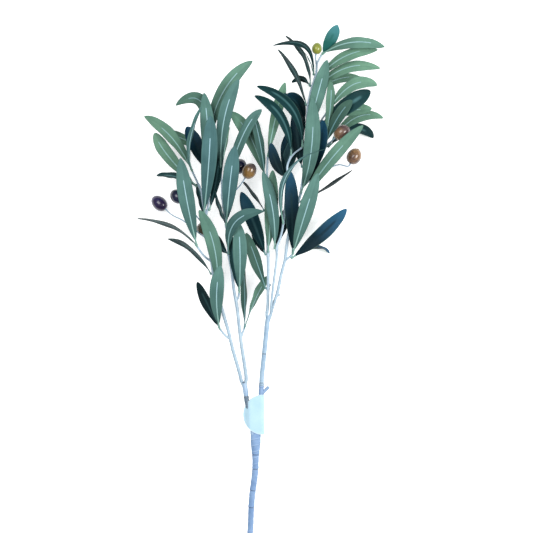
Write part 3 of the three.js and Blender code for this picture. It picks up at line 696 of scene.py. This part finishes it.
def read_leaf(rings):
    """The middle line and the ribbed side's direction as formulas of the share t of the leaf's length, and
    its half width. Of a ring's four corners the two furthest apart are the edges. The line through
    their middles is a square curve, and the direction to the rib a cubic one. The half width is that
    of the middle rings over the outline's share there, the sine of half a turn times t to the 1.1,
    to the power 0.8. The tip ring is too small to tell, so it is left out."""
    t = np.arange(RINGS - 1) / (RINGS - 1)
    body = rings[:-1]
    gaps = np.linalg.norm(body[:, PAIRS[:, 0]] - body[:, PAIRS[:, 1]], axis=2)
    widest = gaps.argmax(1)
    here = np.arange(len(body))[:, None]
    edges, rest = body[here, PAIRS[widest]], body[here, OTHERS[widest]]
    middles = edges.mean(1)
    off = rest - middles[:, None]
    rib = np.linalg.norm(off, axis=2).argmax(1)
    normal = unit(off[here[:, 0], rib])
    widths = gaps.max(1) / 2 / np.maximum(np.sin(np.pi * t**1.1), 0.2) ** 0.8
    return np.polyfit(t, middles, 2), np.polyfit(t, normal, 3), widths[3:6].mean()


def follow(formula, t):
    """The value of a power formula at each t: each power of t times its own factor, all added."""
    powers = t[:, None] ** np.arange(len(formula) - 1, -1, -1)
    return powers @ formula


def planned_leaf(points, width, roll):
    """The same three things for a leaf given by its foot, middle and tip. Its ribbed side faces the
    direction over its line times the cosine of the roll plus the one to the right times the sine."""
    curve = np.polyfit([0, 0.5, 1], lay(points), 2)
    t = np.linspace(0, 1, RINGS)
    right, over = directions(follow(curve, t))
    turn = math.radians(roll)
    return curve, np.polyfit(t, over * math.cos(turn) + right * math.sin(turn), 3), width / 2 * MM


def leaf_blade(plan, rib_end, luck):
    """The blade, a thin closed shell whose rings are slices across it. With s from 0 at its foot to 1 at
    its tip, its half width is the leaf's half width times s to the SWELL times 1 less s to the TAPER,
    over that product's largest value. Its halves fall away from the rib by a share of their width,
    and the edges ripple by a sine that grows with the square of the distance out."""
    curve, lean, half = plan
    spaced = np.linspace(0, 1, BLADE_ROWS)
    s = 0.55 * spaced + 0.45 * (1 - np.cos(np.pi * spaced)) / 2
    t = BLADE_START + (1 - BLADE_START) * s
    line = follow(curve, t)
    side, normal = directions(line, follow(lean, t))
    peak = SWELL / (SWELL + TAPER)
    half_width = half * (s / peak) ** SWELL * ((1 - s) / (1 - peak)) ** TAPER + TIP_HALF * MM
    s, half_width = s[:, None], half_width[:, None]
    flat = np.linspace(-1, 1, BLADE_ACROSS)
    out = np.concatenate([flat, flat[-2:0:-1]])
    face = np.concatenate([[0], np.ones(len(flat) - 2), [0], -np.ones(len(flat) - 2)])
    fold, waves = luck.uniform(0.05, 0.2), luck.uniform(1.6, 3.2)
    phase, lop = luck.uniform(0, 6.3), luck.uniform(-0.05, 0.05)
    fade = np.clip(half_width / (1.5 * MM), 0, 1)
    ripple = RIPPLE * MM * np.sin(2 * np.pi * waves * s + phase + 0.8 * np.sign(out)) * out**2 * fade
    lift = -fold * half_width * np.abs(out) ** 1.4 + lop * half_width * out + ripple
    lift = lift + face * BLADE_THICK / 2 * MM * fade
    wrapped = np.append(out, out[0])
    chart = np.stack(np.broadcast_arrays(half_width * wrapped, lengths(line)[:, None]), -1)
    marks = {"ribbed": (face + 1) / 2, "out": np.abs(out), "along": s, "half": out > 0,
             "imprint": 1 - ease(s, rib_end - 0.08, rib_end + 0.02)}
    rings = placed(line, side, normal, half_width * out, lift)
    return {"rings": rings, "chart": chart + luck.uniform(0, 5, 2), "material": 0, "marks": marks}


def leaf_rib(plan, rib_end):
    """The rib and its stalk: a tube from the nearest place on the wood to the leaf's foot, and on up the
    leaf, half sunk in the blade. It thins by a power of its length and ends in a quarter ellipse."""
    curve, lean, _ = plan
    foot = follow(curve, np.zeros(1))[0]
    wood = np.concatenate(list(lines.values()))
    root = wood[np.linalg.norm(wood - foot, axis=1).argmin()]
    t = np.linspace(0, rib_end, 60)
    line = np.concatenate([root + (foot - root) * np.linspace(0, 0.8, 4)[:, None], follow(curve, t)])
    t = np.concatenate([np.linspace(-0.04, -0.01, 4), t])
    side, normal = directions(line, follow(lean, np.maximum(t, 0)))
    t = t[:, None]
    nose = np.sqrt(np.clip(1 - np.clip((t - (rib_end - 0.02)) / 0.02, 0, 1) ** 2, 0.01, 1))
    radius = (RIB_FOOT + (RIB_NOSE - RIB_FOOT) * np.clip(t / rib_end, 0, 1) ** 0.6) * nose * MM
    radius = radius * (1 + 0.25 * bump(t, 0.01, 0.015))
    sunk = ease(t, 0.0, 0.08)
    turn = turns(RIB_SIDES)
    rise = radius * (np.sin(turn) * (1 - 0.45 * sunk) + 0.42 * sunk)
    rings = placed(line, side, normal, radius * np.cos(turn), rise)
    chart = round_chart(RIB_SIDES, lengths(line))
    return {"rings": rings, "chart": chart, "material": 1, "marks": {"along": t}}


def leaf_shells(plan, shades, luck):
    """A blade and its rib, with the leaf's shades as marks that are the same all over both."""
    rib_end = luck.uniform(*RIB_ENDS)
    shells = [leaf_blade(plan, rib_end, luck), leaf_rib(plan, rib_end)]
    for shell in shells:
        shell["marks"].update(shades)
    return shells


def leaf_finish():
    """Printed satin fabric. The ribbed side is teal or green by its tone, darker towards its foot and by
    painted shade where the leaf lies under others, with soft lengthwise streaks, one half a little darker
    as painted shade of its fold, and a paler margin. The back is dark green with a painted highlight
    along the raised rib, or, where it is printed blue or painted as lit, dark at the foot with painted
    shade in the rib's groove, and a painted sheen towards the tip, blue on the blue backs and pale teal
    on the lit one. A fine weave gives both sides relief."""
    material, tree, shader = finish_of("printed leaf fabric", specular_ior_level=0.08)
    chart = add(tree, "UVMap", uv_map="Chart").outputs[0]
    fine = noise(tree, chart, (1500, 26, 1), 3, dimensions="2D")
    broad = noise(tree, chart, (300, 12, 1), 2, dimensions="2D")
    out, along = mark(tree, "out"), mark(tree, "along")
    ribbed, deep, bright = mark(tree, "ribbed"), mark(tree, "deep"), mark(tree, "bright")

    plain = mixed(tree, mark(tree, "tone"), FRONT_TEAL, FRONT_GREEN)
    footed = mixed(tree, spread(tree, along, 0.0, 0.7, 0.42, 0.0), plain, FRONT_SHADE)
    # Painted shade on the leaves that lie under others.
    streaked = shaded_by(tree, mixed(tree, deep, footed, FRONT_SHADE), broad, 0.3, 0.7, 0.5, 0.4)
    lined = shaded_by(tree, streaked, fine, 0.45, 0.75, 0.35, 0.68)
    # Painted shade of the fold: one half of the blade a little darker.
    halves = mixed(tree, number(tree, "MULTIPLY", mark(tree, "half"), 0.14), lined, FRONT_SHADE)
    front = mixed(tree, spread(tree, out, 0.84, 0.97, 0, 0.15), halves, FRONT_MARGIN)

    # Painted highlight along the raised rib on the green backs, and painted shade in the rib's groove on
    # the blue and lit backs.
    middle = number(tree, "MULTIPLY", spread(tree, out, 0.06, 0.28, 1.0, 0.0), mark(tree, "imprint"))
    green = mixed(tree, number(tree, "MULTIPLY", middle, 0.75), BACK_GREEN, BACK_RIB_HIGHLIGHT)
    # Painted sheen on the satin backs: blue towards the tip of the blue backs, pale teal on the lit one.
    foot = mixed(tree, bright, BLUE_FOOT, LIT_FOOT)
    tip_sheen = mixed(tree, spread(tree, along, 0.4, 1.05), foot, mixed(tree, bright, BLUE_SHEEN_TIP, LIT_SHEEN_TIP))
    blue = mixed(tree, number(tree, "MULTIPLY", middle, 0.7), tip_sheen, foot)
    printed = mixed(tree, mark(tree, "blue"), green, blue)
    back = mixed(tree, number(tree, "MULTIPLY", deep, 0.8), printed, BACK_SHADE)
    glazed = shaded_by(tree, back, fine, 0.5, 0.8, 0.3, 0.75)

    worn = handled(tree, (1, 1, 1, 1), paint(222, 226, 228), 45, 2500)
    color = mixed(tree, 1.0, mixed(tree, ribbed, glazed, front), worn["Color"], "MULTIPLY")
    warp, weft = (
        add(tree, "TexWave", {"Vector": chart, "Scale": 620.0, "Distortion": 0.6}, wave_type="BANDS",
            bands_direction=way).outputs["Fac"]
        for way in ("X", "Y")
    )
    weave = number(tree, "MAXIMUM", warp, weft)
    height = number(tree, "ADD", number(tree, "MULTIPLY", weave, 0.4), number(tree, "MULTIPLY", fine, 0.6))
    uneven = spread(tree, worn["Grain"], 0.3, 0.7, -0.05, 0.05)
    rough = number(tree, "ADD", spread(tree, ribbed, 0, 1, 0.42, 0.56), uneven)
    wear(tree, shader, color, rough, height, 0.00012)
    return material


def rib_finish():
    """The rib's plastic: green at its foot and pale blue towards its nose, though less so on the greener
    leaves, and darker with painted shade on the leaves deep in the spray."""
    material, tree, shader = finish_of("moulded rib plastic", specular_ior_level=0.3)
    nose = spread(tree, mark(tree, "along"), 0.1, 0.6)
    clear = spread(tree, mark(tree, "tone"), 0, 1, 1, 0.35)
    pale = mixed(tree, number(tree, "MULTIPLY", nose, clear), RIB_GREEN, RIB_PALE)
    shaded = mixed(tree, mark(tree, "deep"), pale, RIB_SHADE)
    worn = handled(tree, shaded, mixed(tree, 0.25, shaded, RIB_SHADE), 120, 2200)
    wear(tree, shader, worn["Color"], spread(tree, worn["Cloud"], 0, 1, 0.34, 0.48), worn["Grain"], 0.00008)
    return material


leaf_materials = [leaf_finish(), rib_finish()]
# A leaf is greener the lower it lies and the further it is from the middle of the spray.
LOW_LEAF, HIGH_LEAF, NEAR_LEAF, FAR_LEAF = 34 * MM, 70 * MM, 60 * MM, 110 * MM
# How blue the back and how much painted shade the leaf gets, from 0 to 1, for each leaf of a piece that
# differs.
PRINT_AND_SHADE = {
    "leaves_blue_right": [(1, 0), (1, 0)],
    "leaves_middle_navy": [(0.7, 0.7), (0.7, 0.8)],
    "leaves_dark_centre": [(0.5, 0.5), (0.3, 0.8)],
    "leaves_navy_curled": [(0, 0.2), (0.9, 0.5)],
    "leaves_right_dark": [(0.9, 0.3), (0.8, 0.5)],
    "leaves_cluster_front": [(0.8, 0.4), (0, 0)],
    "leaves_centre_high": [(0, 0), (0, 0.5)],
    "leaves_inner_low": [(0, 0.8), (0, 0.2)],
    "leaf_centre_low": [(0, 0.6)],
    "leaves_twisted": [(0, 0.6), (0, 0.35)],
    "leaves_right_fruit": [(0, 0.2), (0, 0.6)],
    "leaves_low_left": [(0, 0.8), (0, 0)],
    "leaves_side_shoot": [(0, 0.25), (0, 0)],
    "leaf_low_edge": [(0, 0.3)],
    "leaves_right_sweep": [(0, 0.8), (0, 0)],
    "leaves_right_bottom": [(0, 0.4), (0, 0)],
    "leaf_thin_edge": [(0, 0.8)],
    "leaves_middle_top": [(0, 0), (0.4, 0.6)],
    "leaves_top": [(1, 0), (0, 0)],
    "leaves_top_left_curl": [(0, 0.2), (0, 0.5)],
    "leaves_top_left_high": [(0, 0.15), (0, 0.3)],
    "leaf_top_left_low": [(0, 0.2)],
}
# This back is painted as if lit, paler from foot to tip.
LIT_LEAF = ("leaves_top", 0)
luck = np.random.default_rng(11)
for node in sorted(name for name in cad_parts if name.startswith(("leaf_", "leaves_"))):
    shells = []
    for order, rings in enumerate(leaf_frames(node)):
        aside, _, height = rings[2:7].mean((0, 1)) - fork
        # Each leaf's painted shade: more for leaves that lie under others, plus a little at random.
        blue, deep = PRINT_AND_SHADE.get(node, [(0, 0)] * 2)[order]
        tone = 1 - ease(height, LOW_LEAF, HIGH_LEAF) + 0.5 * ease(abs(aside), NEAR_LEAF, FAR_LEAF)
        tone = np.clip(tone + luck.uniform(-0.2, 0.2), 0, 1)
        deep = np.clip(deep + luck.uniform(0, 0.12), 0, 1)
        bright = int((node, order) == LIT_LEAF)
        shades = {"tone": tone, "blue": blue, "deep": deep, "bright": bright}
        shells += leaf_shells(read_leaf(rings), shades, luck)
    piece = build("fabric_" + node, shells, leaf_materials, crease=80)
    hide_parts(node)

# Dark leaves between the others, low in the spray: foot, middle and tip, width, roll, blueness, painted
# shade.
INNER_LEAVES = [
    ([[-56, 266, 41], [-47, 305, 45], [-42, 345, 46]], 11, 165, 0, 0.2),
    ([[24, 223, 38], [31, 247, 34], [45, 278, 33]], 14, 170, 0.4, 0.9),
    ([[34, 300, 39], [41, 331, 34], [53, 360, 33]], 17, 165, 0.2, 0.4),
    ([[57, 366, 35.5], [51, 395, 36], [34, 402, 36]], 15, 170, 0.6, 0.8),
    ([[55, 318, 34], [50, 350, 40], [47, 388, 42]], 16, 165, 0.5, 0.8),
]
shells = []
for points, width, roll, blue, deep in INNER_LEAVES:
    shades = {"tone": 0.3, "blue": blue, "deep": deep, "bright": 0}
    shells += leaf_shells(planned_leaf(points, width, roll), shades, luck)
inner_leaves = build("fabric_inner_leaves", shells, leaf_materials, crease=80)

# ---- Olives ----
# Painted plastic fruit on moulded stalks. Each is egg-shaped, dimpled where its stalk enters and
# barely pointed at its tip, sprayed with a second colour and finished in semi-gloss lacquer.


def olive_finish(name, flesh, ripe, shade):
    """Lacquered paint: the flesh colour at the stalk, sprayed over with the ripe colour in clouds towards
    the tip, and the shade in the dimple round the stalk."""
    material, tree, shader = finish_of(name, specular_ior_level=0.35, coat_weight=0.5, coat_roughness=0.05)
    clouds = noise(tree, add(tree, "TexCoord").outputs["Object"], 130, 4, 0.6)
    ripeness = number(tree, "ADD", mark(tree, "ripe"), spread(tree, clouds, 0.3, 0.7, -0.35, 0.35))
    sprayed = mixed(tree, spread(tree, ripeness, 0.35, 0.85), flesh, ripe)
    worn = handled(tree, (1, 1, 1, 1), (0.72, 0.72, 0.74, 1), 260, 2600)
    spotted = mixed(tree, 1.0, sprayed, worn["Color"], "MULTIPLY")
    dimple = mixed(tree, mark(tree, "dimple"), spotted, shade)
    wear(tree, shader, dimple, spread(tree, worn["Cloud"], 0, 1, 0.16, 0.28), worn["Grain"], 0.00004)
    return material


stalk_plastic = moulded_finish("moulded stalk plastic", paint(160, 180, 196), paint(128, 152, 172),
                               paint(134, 160, 184), paint(76, 94, 112))
OLIVE_SIDES = 56


def olive(name, parent, reach, points, length, width, finish):
    """An olive and its stalk. The skin's radius at the angle a from the stalk is the half width times the
    sine of a, fuller towards the stalk by the cosine, and barely three-sided. Its depth is the half
    length times the cosine, sunk by a bell at the stalk and drawn out by a smaller one at the tip.
    The stalk leaves a twig at a reach, and its points lead to the olive's middle, along its axis."""
    wood = lines[parent]
    reaches = (wood[:, 1] - fork[1]) / MM
    start = (np.array([np.interp(reach, reaches, wood[:, n]) for n in range(3)]) - fork) / MM
    before, centre = lay(points)[-2:]
    axis = unit(centre - before)
    side = unit(np.cross(axis, UP))
    over = np.cross(side, axis)
    a = np.linspace(0.02, np.pi - 0.01, 48)[:, None]
    turn = turns(OLIVE_SIDES)
    radius = width / 2 * np.sin(a) * (1 + 0.045 * np.cos(a))
    depth = -length / 2 * np.cos(a) + 1.3 * bump(a, 0, 0.2) + 0.35 * bump(a, np.pi, 0.13)
    radius = radius * (1 + 0.006 * np.cos(3 * turn + reach)) * MM
    spine = centre + axis * depth * MM
    skin = placed(spine, side[None], over[None], radius * np.cos(turn), radius * np.sin(turn))
    marks = {"ripe": a / np.pi, "dimple": 0.9 * bump(a, 0, 0.16)}
    chart = round_chart(OLIVE_SIDES, a[:, 0] / np.pi)
    fruit = {"rings": skin, "chart": chart, "material": 0, "marks": marks}
    stop = points[-1] - axis * (length / 2 - 1.6)
    line = route([start, *points[:-1], stop], pitch=0.5)
    along = lengths(line) / MM
    thick = 0.82 + 0.5 * (1 - ease(along, 0.5, 5)) + 0.35 * ease(along, along[-1] - 3.5, along[-1] - 1.5)
    stalk = tube(line, thick[:, None] * MM, sides=18, material=1)
    piece = build(name + "_on_stalk", [fruit, stalk], [finish, stalk_plastic], crease=60)
    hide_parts(name)


navy_skin = olive_finish("navy olive lacquer", paint(14, 22, 58), paint(6, 12, 38), paint(4, 6, 10))
purple_skin = olive_finish("purple olive lacquer", paint(40, 24, 62), paint(28, 22, 76), paint(6, 4, 10))
gold_skin = olive_finish("gold olive lacquer", paint(134, 102, 54), paint(70, 58, 54), paint(34, 24, 16))
shaded_skin = olive_finish("shaded olive lacquer", paint(84, 72, 44), paint(48, 42, 40), paint(20, 16, 12))
brown_skin = olive_finish("brown olive lacquer", paint(134, 102, 70), paint(88, 68, 66), paint(36, 24, 20))
tan_skin = olive_finish("tan olive lacquer", paint(100, 76, 64), paint(144, 110, 72), paint(40, 28, 26))
green_skin = olive_finish("green olive lacquer", paint(150, 152, 60), paint(120, 130, 54),
                          paint(50, 52, 26))

olive("olive_purple", "outer", 232, [[-74, 243, 30], [-88, 254, 20], [-103, 262, 13], [-117, 275, 9]],
      22, 16.4, purple_skin)
olive("olive_navy_left", "outer", 246, [[-74, 262, 33], [-86, 274, 28], [-95, 283, 24]], 19, 16, navy_skin)
olive("olive_hidden_left", "outer", 238, [[-62, 240, 31], [-64, 244, 20]], 19, 16, shaded_skin)
olive("olive_navy_centre", "inner", 281, [[-33, 297, 36], [-26, 309, 32], [-20, 319, 29]],
      19, 17, navy_skin)
olive("olive_gold_centre", "inner", 270, [[-28, 286, 39], [-19, 296, 39], [-13, 305, 41.5], [-8, 313, 44]],
      20, 17, gold_skin)
olive("olive_green_top", "right", 441, [[71.4, 450, 40], [73, 460, 40]], 14.4, 12.4, green_skin)
olive("olive_brown_right", "fruit", 346, [[94, 352, 38], [103, 359, 42]], 21, 18.4, brown_skin)
olive("olive_tan_right", "right", 292,
      [[64, 301, 31], [80, 312, 29.5], [100, 321, 29], [112, 320, 29], [118, 331, 29.5]],
      20.5, 17.5, tan_skin)

# ---- Floor, light and camera ----
# The spray lies on a plain white light table, which glows faintly, under broad soft light. It is seen
# from straight above, as it lies.

view_middle = lay([12.6, 198.6, 35])
VIEW_SPAN = 640 * MM
LENS, SENSOR = 200, 36
FLOOR_HALF = 6.0
FLOOR_GAP = 0.5 * MM  # keeps the floor clear of the faces that rest on it

corners = np.array([[-1, -1], [1, -1], [1, 1], [-1, 1]]) * FLOOR_HALF
floor_mesh = bpy.data.meshes.new("studio_floor")
floor_mesh.from_pydata(np.column_stack([corners, np.zeros(4)]), [], [(0, 1, 2, 3)])
floor = bpy.data.objects.new("studio_floor", floor_mesh)
bpy.context.scene.collection.objects.link(floor)
floor.location.z = cad_box[0].z - FLOOR_GAP
floor_paint, tree, shader = finish_of("white light table", roughness=0.9, specular_ior_level=0.1,
                                      emission_strength=0.5)
tint = handled(tree, (0.93, 0.93, 0.93, 1), (0.92, 0.92, 0.92, 1), 2, 60)
fill(tree, shader, {"Base Color": tint["Color"], "Emission Color": tint["Color"]})
floor_mesh.materials.append(floor_paint)


def soft_light(name, place, size, power):
    """A square area light at a place, turned to face the middle of the view."""
    data = bpy.data.lights.new(name, "AREA")
    data.energy, data.size = power, size
    lamp = bpy.data.objects.new(name, data)
    lamp.location = place
    lamp.rotation_euler = (Vector(view_middle) - lamp.location).to_track_quat("-Z", "Y").to_euler()
    bpy.context.scene.collection.objects.link(lamp)


soft_light("softbox_right", (1.5, 0.1, 1.9), 1.1, 52)
soft_light("overhead_left", (-0.9, 0.9, 2.5), 1.6, 46)
world = bpy.data.worlds.new("studio")
bpy.context.scene.world = world
world.use_nodes = True
sky = world.node_tree.nodes["Background"]
fill(world.node_tree, sky, {"Color": (0.96, 0.98, 1, 1), "Strength": 0.42})
bpy.context.scene.view_settings.view_transform = "Standard"

camera = bpy.data.objects.new("camera", bpy.data.cameras.new("camera"))
camera.data.lens, camera.data.sensor_width = LENS, SENSOR
camera.location = view_middle + UP * VIEW_SPAN * LENS / SENSOR
camera.data.clip_end = 20
bpy.context.scene.collection.objects.link(camera)
bpy.context.scene.camera = camera
